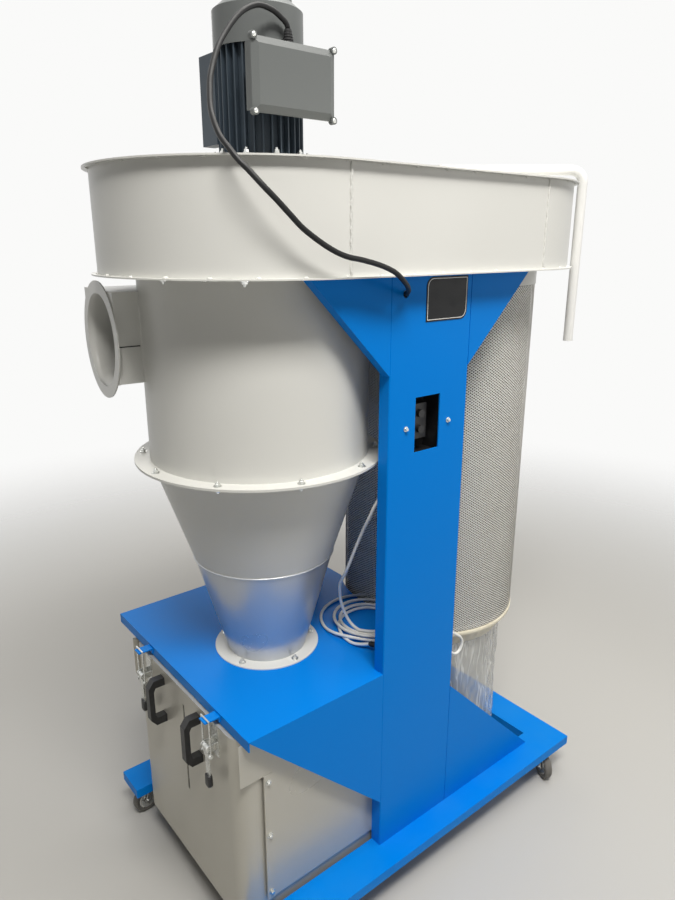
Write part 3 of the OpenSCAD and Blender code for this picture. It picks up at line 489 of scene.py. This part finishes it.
zinc_plate("zinc", shade(222, 223, 220), 0.24)
moulded("black_plastic", shade(22, 22, 23), shade(58, 58, 58), 0.42)
moulded("rubber", shade(26, 26, 26), shade(60, 58, 55), 0.75)
moulded("tyre", shade(96, 94, 90), shade(128, 124, 116), 0.68, 500, 0.4)
moulded("cable_black", shade(14, 14, 15), shade(34, 34, 34), 0.45, 700, 0.15, gloss=0.3)
moulded("lead_white", shade(236, 236, 232), shade(214, 211, 200), 0.38, 700, 0.10)
moulded("plate_black", shade(18, 19, 21), shade(30, 31, 34), 0.42, 1800, 0.08, gloss=0.2)
moulded("window", shade(74, 78, 76), shade(128, 128, 120), 0.18, 300, 0.05)
moulded("mesh_paint", shade(250, 249, 244), shade(232, 229, 220), 0.40, 900, 0.15)

paper = Finish("pleat")
fibre = paper.noise(420, 4, 0.6, stretch=(1, 1, 0.2))
stain = paper.noise(7, 4, 0.6).between(0.35, 0.7)
# Both paper colours are darker than clean paper: painted shade of the gap behind the mesh sleeve. The stain noise moves
# between them
paper.set(base_color=paper.mix(stain * 0.6, shade(150, 147, 140), shade(122, 118, 110)), roughness=0.9,
          normal=paper.bump(fibre, 0.4, 0.0004))
FINISHES["pleat"] = paper

cloth = Finish("cuff")
warp = (cloth.along("Z") * (TURN / 0.0012)).sine() * 0.5 + 0.5
weft = cloth.noise(900, 2, 0.5, stretch=(1, 1, 0.3))
worn = cloth.noise(16, 4, 0.6).between(0.35, 0.75)
cloth.set(base_color=cloth.mix(worn * 0.5, shade(234, 227, 206), shade(206, 197, 172)),
          roughness=0.88, sheen_weight=0.25, normal=cloth.bump(warp * 0.5 + weft, 0.5, 0.0005))
FINISHES["cuff"] = cloth

film = Finish("clear_bag", roughness=0.10, ior=1.45, coat_weight=0.3)
crease = film.noise(42, 2, 0.5, stretch=(1, 1, 0.10))
# The crease mask paints white streaks into the film's colour, as painted highlights along the folds, and makes the film
# less clear there
painted_crease_highlight = (1 - (crease - 0.5).size() * 26).between(0.0, 1.0)
film.set(base_color=film.mix(painted_crease_highlight * 0.7, shade(210, 211, 206), shade(244, 245, 242)), alpha=0.44 + painted_crease_highlight * 0.26,
         normal=film.bump(crease, 0.5, 0.004))
FINISHES["clear_bag"] = film
print(sorted(FINISHES))

# %% [markdown]
# Each CAD node takes the finish of its own slot in the imported record, and so does each
# new piece, so a slot has the same look wherever it shows. Two nodes differ: the motor's
# finned casting is painted darker than its smooth lids, as painted shade among the fins,
# and the cone's tip is barer steel.

# %% Finishes on the CAD nodes
def dress(piece, slot):
    piece.data.materials.clear()
    piece.data.materials.append(FINISHES[slot].material)


for entry in frame["record"]["subparts"]:
    dress(frame["nodes"][entry["node"]], entry["material_slot"])
dress(frame["nodes"]["motor_body"], "motor_casting_painted_shade")
dress(frame["nodes"]["cone_tip"], "bare_steel")
for piece in (motor_cable, mains_lead, plug):
    dress(piece, piece["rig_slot"])


def finish_piece(piece, body, slot, *replaced):
    """Rides, slots and dresses a new piece in one go."""
    ride_and_slot(piece, body, slot, *replaced)
    dress(piece, slot)
    return piece


# %% [markdown]
# ## The filter's mesh sleeve
# Expanded metal is a sheet that was slit and pulled open, so it is one skin of thin
# strands around diamond holes. Rows of joints go round the sleeve, and each row is
# shifted by half a diamond against the next. Every joint is two points, one above the
# other, and a strand is the quad between two joints.

# %% Expanded metal
def expanded_metal(name, radius, low, high, hole_w=0.0105, hole_h=0.0070, strand=0.0029):
    """Joint (j, i) stands at angle (i + (j mod 2) / 2) * 2 pi / n and height low + j * hole_h / 2.
    Its upper point lies 0.6 mm further out than its lower one, as the pulled strands tilt."""
    n = int(round(TURN * radius / hole_w))
    rows = int((high - low - strand) / (hole_h / 2)) + 1
    j, i = np.meshgrid(np.arange(rows), np.arange(n), indexing="ij")
    a = (i + (j % 2) / 2) * TURN / n
    z = low + strand / 2 + j * (high - low - strand) / (rows - 1)
    ring = []
    for up in (-1, 1):
        r = radius - 0.0005 + up * 0.0003
        ring.append(np.stack([FILTER_X + r * np.cos(a), r * np.sin(a), z + up * strand / 2], -1))
    points = np.stack(ring, 2).reshape(-1, 3)
    number = lambda j, i, up: (j * n + i % n) * 2 + up
    j, i = np.meshgrid(np.arange(rows - 1), np.arange(n), indexing="ij")
    near = i + (j % 2)
    quads = [np.stack([number(j, i, 0), number(j + 1, k, 0), number(j + 1, k, 1), number(j, i, 1)], -1)
             for k in (near, near - 1)]
    quads[1] = quads[1][..., ::-1]
    return mesh_object(name, points, np.concatenate([q.reshape(-1, 4) for q in quads]), smooth=False)


sleeve = expanded_metal("filter_mesh_sleeve", MESH_R, MESH_LOW, MESH_HIGH)
finish_piece(sleeve, "machine", "mesh_paint", "filter_mesh")
print("sleeve", len(sleeve.data.polygons), "strands")

# %% [markdown]
# ## The pleated paper
# The cartridge's paper is folded into narrow pleats all round. Its outline is a wave
# between an outer and an inner radius, the same at every height, with a flat ring at
# each end that seals it.

# %% Pleats
def pleats(name, count, r_out, r_in, low, high):
    """Radius at fold k is r_out when k is even and r_in when it is odd; the angle of k is k * pi / count.
    Flat rings close it: 6 mm thick at the foot, and up to the housing at the top."""
    k = np.arange(2 * count)
    a, r = k * math.pi / count, np.where(k % 2, r_in, r_out)
    heights = np.linspace(low, high, 7)
    points = np.stack([np.broadcast_to(FILTER_X + r * np.cos(a), (7, len(k))),
                       np.broadcast_to(r * np.sin(a), (7, len(k))),
                       np.broadcast_to(heights[:, None], (7, len(k)))], -1)
    wall = (points.reshape(-1, 3), grid_faces(7, len(k), round_columns=True).tolist())
    caps = []
    for z, thick in ((low, 0.006), (high, HOUSING_LOW - high)):
        ring = [(r_in - 0.004, 0), (r_out + 0.003, 0), (r_out + 0.003, thick), (r_in - 0.004, thick)]
        caps.append(lathe(ring, (FILTER_X, 0, z), sides=96))
    return joined(name, [wall] + caps, smooth=False)


paper_pack = pleats("pleated_paper", 190, 0.242, 0.212, MESH_LOW, MESH_HIGH)
finish_piece(paper_pack, "machine", "pleat", "filter_core")
print("pleats", len(paper_pack.data.polygons))

# %% [markdown]
# ## The cuff and the clear bag
# A cloth cuff is strapped to the filter's foot and draws in to the bag, and the bag is
# thin clear film that hangs in folds. Both are surfaces of revolution whose radius also
# depends on the angle: a few long folds, which grow downwards, and finer creases that
# drift sideways as they fall.

# %% Cuff
# Each row: how many waves go round, where they start, and how they drift with height
FOLDS = ((7, 0.4, 9), (11, 1.9, 13), (18, 0.8, 17))
CREASES = ((23, 0.3, 60), (37, 1.1, -85), (58, 2.2, 40))


def folded_sleeve(name, heights, radii, folds, crumple, columns=256, closed=False):
    """r(a, z) = R(z) - folds(z) * mean of |sin| waves - crumple(z) * mean of finer drifting waves."""
    a = np.arange(columns) * TURN / columns
    z = np.asarray(heights)[:, None]
    big = sum(np.abs(np.sin(k * a / 2 + p + 0.7 * np.sin(z * q))) for k, p, q in FOLDS) / 3
    fine = sum(np.sin(k * a + p + q * z + 1.2 * np.sin(3 * a + 21 * z)) for k, p, q in CREASES) / 3
    r = radii[:, None] - folds[:, None] * big - crumple[:, None] * (0.5 + 0.5 * fine)
    points = np.stack([FILTER_X + r * np.cos(a), r * np.sin(a), np.broadcast_to(z, r.shape)], -1)
    faces = grid_faces(len(heights), columns, round_columns=True).tolist()
    points = points.reshape(-1, 3)
    if closed:
        points = np.vstack([points, [(FILTER_X, 0, heights[0])]])
        faces += [[len(points) - 1, (k + 1) % columns, k] for k in range(columns)]
    return mesh_object(name, points, faces)


rise = np.linspace(0, 1, 22)
cuff_z = CUFF_LOW + rise * (MESH_LOW - CUFF_LOW)
cuff_r = BAG_R + 0.0220 * np.clip(rise / 0.85, 0, 1) ** 0.9
cuff = folded_sleeve("cuff_cloth", cuff_z, cuff_r, 0.005 * (1 - rise) ** 0.8, 0.0034 * (1 - rise ** 3))
solid = cuff.modifiers.new("cloth_thickness", "SOLIDIFY")
solid.thickness, solid.offset = 0.0016, -1
finish_piece(cuff, "machine", "cuff", "filter_cuff")

strap_z = 0.5625
strap_profile = [(0.2508, -0.006), (0.2517, -0.0048), (0.2517, 0.0048), (0.2508, 0.006), (0.2503, 0)]
strap = joined("cuff_strap", [lathe(strap_profile, (FILTER_X, 0, strap_z), sides=128)])
finish_piece(strap, "machine", "cuff")
print("cuff", len(cuff.data.polygons))

# %% Clear bag
drop = np.linspace(0, 1, 70)
bag_z = BAG_LOW + drop * (BAG_TOP - BAG_LOW)
bag_r = BAG_R * (1 - 0.03 * drop**3) * np.clip(0.875 + drop * 1.2, 0, 1)
bag = folded_sleeve("clear_film_bag", bag_z, bag_r, 0.010 * np.sin(math.pi * drop) ** 0.7 + 0.002,
                    0.004 * np.sin(math.pi * drop) ** 0.5 + 0.001, closed=True)
finish_piece(bag, "machine", "clear_bag", "dust_bag")
print("bag", len(bag.data.polygons))

# %% [markdown]
# ## Bolts
# A bolt is a hexagon with a chamfered top, on a round washer, with the end of its thread
# showing. It is worked out once, as revolved profiles, and copied to each place with its
# own turn, so that no two look set by a machine.

# %% Bolts and screws
def hex_bolt(place, axis, across=0.010, washer=0.0085, turn=0.0, stud=True):
    """Washer, hexagon head and a short stud, each a revolved profile of few sides."""
    r = across / math.sqrt(3)
    parts = [lathe([(washer * 0.55, 0), (washer, 0.0001), (washer, 0.0014), (washer * 0.55, 0.0016)], place, axis, 20),
             lathe([(r, 0.0015), (r, 0.0056), (r * 0.86, 0.0066)], place, axis, 6, turn)]
    if stud:
        parts.append(lathe([(across * 0.27, 0.006), (across * 0.27, 0.0095), (across * 0.20, 0.0105)], place, axis, 12))
    return parts


def round_screw(place, axis, r=0.005, h=0.0028):
    """A dome head: r falls as the square root of what is left to the top."""
    s = np.linspace(0, 0.96, 6)
    return [lathe(np.stack([r * np.sqrt(1 - s**2), h * s], 1), place, axis, 16)]


def ring_places(x, z, radius, degrees):
    a = np.radians(degrees)
    return [(x + radius * math.cos(k), radius * math.sin(k), z) for k in a]


def bolt_set(name, body, places, axis, **options):
    parts = []
    for k, place in enumerate(places):
        parts += hex_bolt(place, axis, turn=0.37 * k, **options)
    piece = joined(name, parts, smooth=False)
    finish_piece(piece, body, "zinc")
    print(name, len(places))
    return piece


FLANGE_BOLTS_R, OUTLET_BOLTS_R, MOTOR_BOLTS_R = 0.269, 0.1135, 0.0965
flange_angles = [36 * k - 177.4 for k in range(10)]
for name, z, way in (("flange_bolts", BARREL_LOW + RING_T, UP), ("flange_nuts", BARREL_LOW - RING_T, DOWN)):
    bolt_set(name, "machine", ring_places(CYCLONE_X, z, FLANGE_BOLTS_R, flange_angles), way)
outlet_places = ring_places(CYCLONE_X, TABLE_Z + RING_T, OUTLET_BOLTS_R, [-155, -87, -20, 52, 125])
bolt_set("outlet_bolts", "machine", outlet_places, UP)

# The motor's nuts sit on spacers, clear of the lowest fins
SPACER = 0.017
motor_angles = [36 * k - 141 for k in range(10)]
motor_places = ring_places(MOTOR_X, HOUSING_HIGH + MOTOR_FLANGE, MOTOR_BOLTS_R, motor_angles)
spacers = [lathe([(0.0048, 0), (0.0048, SPACER)], place, sides=12) for place in motor_places]
finish_piece(joined("motor_base_spacers", spacers, smooth=False), "machine", "zinc")
nut_places = [(x, y, z + SPACER) for x, y, z in motor_places]
bolt_set("motor_base_bolts", "machine", nut_places, UP, across=0.009, washer=0.006)

LID_FACE, LID_MIDDLE = -0.129, 1.894
lid_corners = [(MOTOR_X + x, LID_FACE, LID_MIDDLE + z) for x in (-0.093, 0.093) for z in (-0.063, 0.063)]
lid_screws = [round_screw(corner, (0, -1, 0), 0.0046, 0.0024)[0] for corner in lid_corners]
finish_piece(joined("lid_screws", lid_screws), "machine", "zinc")

under_lip = hex_bolt((-0.5525, -0.095, HOUSING_LOW), DOWN) + hex_bolt((-0.483, -0.267, HOUSING_LOW), DOWN)
under_lip += round_screw((-0.5235, -0.2015, HOUSING_LOW), DOWN, 0.009, 0.004)
finish_piece(joined("under_lip_bolts", under_lip, smooth=False), "machine", "zinc")

screws = []
for side in (-1, 1):
    face = side * (PANEL_Y + 0.002)
    for z in (0.471, 0.327, 0.165):
        screws += hex_bolt((-0.471, face, z), (0, side, 0), across=0.008, washer=0.007, stud=False)
screws = joined("panel_screws", screws, smooth=False)
finish_piece(screws, "machine", "zinc")

switch_bolts = []
for x in (-0.113, 0.019):
    switch_bolts += hex_bolt((x, POST_FRONT, 1.212), (0, -1, 0), across=0.007, washer=0.006, stud=False)
finish_piece(joined("switch_bolts", switch_bolts, smooth=False), "machine", "zinc")

# %% [markdown]
# A castor's wheel turns on its own body, so its bright hub discs ride that body too. The
# wheel's box gives its centre, and its axle lies square to the line from the pivot.

# %% Castor hubs
for k in range(1, 5):
    low, high = (np.array(corner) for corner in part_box("castor_wheel_%d" % k))
    centre = (low + high) / 2
    trail = centre - (math.copysign(CASTOR_X, centre[0]), math.copysign(CASTOR_Y, centre[1]), centre[2])
    axle = np.array((-trail[1], trail[0], 0)) / np.linalg.norm(trail)
    discs = [lathe([(0.0250, 0.0075), (0.0250, 0.0088), (0.0225, 0.0093)], centre, side * axle, 32) for side in (-1, 1)]
    finish_piece(joined("castor_hub_%d" % k, discs, smooth=False), "wheel_%d" % k, "zinc")
    print("wheel", k, "at", centre.round(4), "trail", round(float(np.linalg.norm(trail)), 4))

# %% [markdown]
# ## Weld beads
# The housing's wall was rolled in pieces. Where they meet, a bead runs down: a tube whose
# radius and middle line waver like the drops of a weld. Along both edges the wall is
# tacked to its plates, and each tack is a small flattened dome under the same paint.

# %% Welds
def bead(line, radius, drops, seed):
    """A tube that thins at both ends. Its radius is radius * (0.8 + 0.4 * |sin| of the drops), and its
    middle line strays along x by up to 0.6 mm."""
    rng = np.random.default_rng(seed)
    line = evenly(np.asarray(line, float), 0.0025)
    s = np.linspace(0, 1, len(line))
    beat = np.abs(np.sin(math.pi * drops * s + rng.uniform(0, 3)))
    line = line + 0.0006 * np.sin(math.pi * drops * s * 0.7)[:, None] * np.array([1.0, 0, 0])
    taper = np.clip(np.minimum(s, 1 - s) * 40, 0.15, 1)
    return tube_part(line, radius * (0.8 + 0.4 * beat) * taper, 8)


beads = []
for k, x in enumerate((CYCLONE_X, FILTER_X)):
    for side in (-1, 1):
        y = side * (HOUSING_R + 0.0002)
        beads.append(bead([(x, y, HOUSING_LOW + 0.004), (x, y, HOUSING_HIGH - 0.004)], 0.0026, 26, 3 * k + side + 2))
finish_piece(joined("housing_seam_beads", beads), "machine", "pale_paint")


def stadium_line(r, z, count):
    """Points at equal steps round the housing: a half circle at each end and a straight run on each side."""
    a = np.linspace(-math.pi / 2, math.pi / 2, 80)
    right = np.stack([FILTER_X + r * np.cos(a), r * np.sin(a)], 1)
    left = np.stack([CYCLONE_X - r * np.cos(a), -r * np.sin(a)], 1)
    ring = np.vstack([right, left, right[:1]])
    ring = np.column_stack([ring, np.full(len(ring), z)])
    step = line_length(ring) / count
    return evenly(ring, step)[:count]


print("housing beads", len(beads))

# %% [markdown]
# Seen from outside, the round inlet runs on smoothly inside the square duct. That lining
# is a sleeve whose far end is cut to the barrel's curve: each line along it stops where
# it meets a circle of the barrel's radius. Low down it also rises to the duct's floor
# within the depth of the ring's spigot. The duct has a lapped seam halfway up its side,
# and it is welded to the barrel.

# %% Inlet lining and seams
INLET_TURN, INLET_REACH, INLET_SIDE = math.radians(5.4), 0.304, 0.146
INLET_Z, DUCT_HALF = 1.393, 0.1042


def at_inlet(points):
    """From the duct's own frame, x along it and the barrel's axis as origin, to the machine's frame."""
    p = np.asarray(points, float)
    c, d = math.cos(INLET_TURN), math.sin(INLET_TURN)
    x, y, z = p[..., 0], p[..., 1], p[..., 2]
    return np.stack([CYCLONE_X + x * c + y * d, -x * d + y * c, INLET_Z + z], -1)


def lining(radius, columns=72, rows=14):
    """x runs from the ring to where the barrel's circle has the point's own y; y and z go round the bore,
    and z is never lower than a floor that climbs 20 mm within the first 22 mm of x."""
    a = np.arange(columns) * TURN / columns
    y, z = INLET_SIDE + radius * np.cos(a), radius * np.sin(a)
    end = -np.sqrt(np.clip((BARREL_R - 0.004) ** 2 - y**2, 0.0001, None))
    share = np.linspace(0, 1, rows)[:, None]
    x = -INLET_REACH + 0.0006 + share * (end + INLET_REACH)
    floor_z = -radius + 0.020 * np.clip((x + INLET_REACH) / 0.022, 0, 1)
    return at_inlet(np.stack([x, np.broadcast_to(y, x.shape), np.maximum(z, floor_z)], -1))


sleeve_in = grid_object("inlet_lining", lining(0.0992), round_columns=True)
thin = sleeve_in.modifiers.new("sheet", "SOLIDIFY")
thin.thickness, thin.offset = 0.0006, 1
finish_piece(sleeve_in, "machine", "pale_paint")

duct_face = INLET_SIDE - DUCT_HALF
seam_ends = [(x, duct_face - 0.0004, -0.004) for x in (-INLET_REACH + 0.006, -0.252)]
corner = [(-0.2475, duct_face - 0.0006, z) for z in (-0.078, 0.102)]
duct_beads = [bead(at_inlet(corner), 0.0022, 30, 11)]
finish_piece(joined("duct_weld", duct_beads), "machine", "pale_paint")
seam = joined("duct_seam", [tube_part(evenly(at_inlet(seam_ends), 0.01), 0.0011, 8)])
finish_piece(seam, "machine", "rubber")
print("lining from", sleeve_in.bound_box[0][0])

# %% Tacks
tacks = []
rng = np.random.default_rng(7)
for z, up in ((HOUSING_LOW + PLATE, 1), (HOUSING_HIGH - PLATE, -1)):
    for place in stadium_line(HOUSING_R + 0.0012, z, 38):
        size = rng.uniform(0.0022, 0.0038)
        s = np.linspace(0, 0.95, 4)
        tacks.append(lathe(np.stack([size * 1.6 * np.sqrt(1 - s**2), size * s], 1), place, (0, 0, up), 10))
finish_piece(joined("housing_tacks", tacks), "machine", "pale_paint")
print("tacks", len(tacks))

# %% [markdown]
# ## Small trim
# The plate under the housing is plain with a pale border, and the levers end in black grips.

# %% Trim
def plate_outline(inset, y, x0=-0.0635, x1=0.0635, z0=1.436, z1=1.528, corner=0.020):
    """The plate's outline with two opposite round corners, drawn inset from its edge."""
    a = np.linspace(0, math.pi / 2, 12)
    r = corner - inset
    top_left = [(x0 + corner - r * math.cos(k), z1 - corner + r * math.sin(k)) for k in a]
    low_right = [(x1 - corner + r * math.cos(k), z0 + corner - r * math.sin(k)) for k in a]
    outline = top_left + [(x1 - inset, z1 - inset)] + low_right + [(x0 + inset, z0 + inset)]
    return np.array([(x, y, z) for x, z in outline + outline[:1]])


border_y = POST_FRONT - 0.0014
corners = np.stack([plate_outline(0.0045, border_y), plate_outline(0.0032, border_y)], 1)
border = np.concatenate([corners, corners[:, ::-1] + (0, 0.0005, 0)], 1)
border_piece = grid_object("plate_border", border, round_columns=True, smooth=False)
finish_piece(border_piece, "machine", "lead_white")

# The grip's section is a box with soft corners: signed square roots of cos and sin
a = np.arange(20) * TURN / 20
section = np.stack([np.copysign(np.abs(np.cos(a)) ** 0.5, np.cos(a)) * 0.62,
                    np.copysign(np.abs(np.sin(a)) ** 0.5, np.sin(a))], 1)
grip_r = np.array([0.0085, 0.0098, 0.0102, 0.0085])
GRIP_X, GRIP_FOOT = BIN_X - 0.022, 0.548 - 0.104
for name, y in (("front", -0.168), ("rear", 0.168)):
    grip_line = np.array([(GRIP_X, y, GRIP_FOOT + h) for h in (0.030, 0.026, 0.004, -0.0005)])
    grip = joined("lever_grip_" + name, [tube_part(grip_line, grip_r, section=section)])
    finish_piece(grip, "lever_" + name, "black_plastic")
print("trim done")

# %% [markdown]
# ## Floor and light
# The floor is a plain pale sheet. Its material turns clear with the distance from the
# machine, and the world behind it shows white to the camera and to mirrors, so there is
# no horizon. The light is soft and from above, as in the hall of the photograph, with the
# key a little in front, so that the housing throws a curved shadow on the barrel.

# %% Floor
floor_finish = Finish("floor_grey", roughness=0.7, base_color=shade(186, 185, 182), specular_ior_level=0.3)
away = floor_finish.node("ShaderNodeVectorMath", {"operation": "LENGTH"}, {0: floor_finish.object}, out="Value")
floor_finish.set(alpha=1 - away.between(1.3, 4.2))
steps = np.linspace(-7, 7, 29)
floor_x, floor_y = np.meshgrid(steps, steps, indexing="ij")
floor = grid_object("studio_floor", np.stack([floor_x, floor_y, 0 * floor_x], -1)[:, ::-1])
floor.data.materials.append(floor_finish.material)
print("floor", len(floor.data.polygons))

# %% Light
WARM = (1.0, 0.975, 0.93)


def soft_lamp(name, place, aim, size, power):
    """A warm rectangle of light at place, turned to shine at aim."""
    light = bpy.data.lights.new(name, "AREA")
    light.shape, light.size, light.size_y, light.energy, light.color = "RECTANGLE", size[0], size[1], power, WARM
    lamp = bpy.data.objects.new(name, light)
    lamp.location = place
    lamp.rotation_euler = (Vector(aim) - Vector(place)).to_track_quat("-Z", "Y").to_euler()
    bpy.context.scene.collection.objects.link(lamp)


soft_lamp("key_row", (-0.98, -1.92, 4.4), (-0.2, 0, 1.0), (1.9, 0.7), 162)
soft_lamp("ceiling_panel", (0.7, -0.3, 4.6), (0, 0, 0.8), (3.0, 2.4), 112)
soft_lamp("window_left", (-3.6, -1.2, 2.2), (-0.2, 0, 1.0), (1.4, 2.4), 2)
soft_lamp("fill_right", (2.6, -3.2, 2.0), (0.2, 0, 0.9), (2.0, 2.0), 22)
soft_lamp("back_panel", (1.6, 3.4, 3.0), (0, 0, 1.0), (2.4, 1.8), 18)

world = bpy.data.worlds.new("studio")
bpy.context.scene.world = world
world.use_nodes = True
sky = world.node_tree
sky.nodes.clear()
path = sky.nodes.new("ShaderNodeLightPath")
seen = path.outputs["Is Camera Ray"]
for ray in ("Is Glossy Ray", "Is Transmission Ray"):
    largest = sky.nodes.new("ShaderNodeMath")
    largest.operation = "MAXIMUM"
    sky.links.new(seen, largest.inputs[0])
    sky.links.new(path.outputs[ray], largest.inputs[1])
    seen = largest.outputs[0]
shown, lit = sky.nodes.new("ShaderNodeBackground"), sky.nodes.new("ShaderNodeBackground")
for node, colour, strength in ((shown, shade(250, 250, 249), 1.0), (lit, shade(244, 242, 236), 0.15)):
    node.inputs["Color"].default_value, node.inputs["Strength"].default_value = (*colour, 1), strength
either, out = sky.nodes.new("ShaderNodeMixShader"), sky.nodes.new("ShaderNodeOutputWorld")
sky.links.new(seen, either.inputs[0])
sky.links.new(lit.outputs[0], either.inputs[1])
sky.links.new(shown.outputs[0], either.inputs[2])
sky.links.new(either.outputs[0], out.inputs[0])
bpy.context.scene.view_settings.view_transform = "Standard"
print("lit")
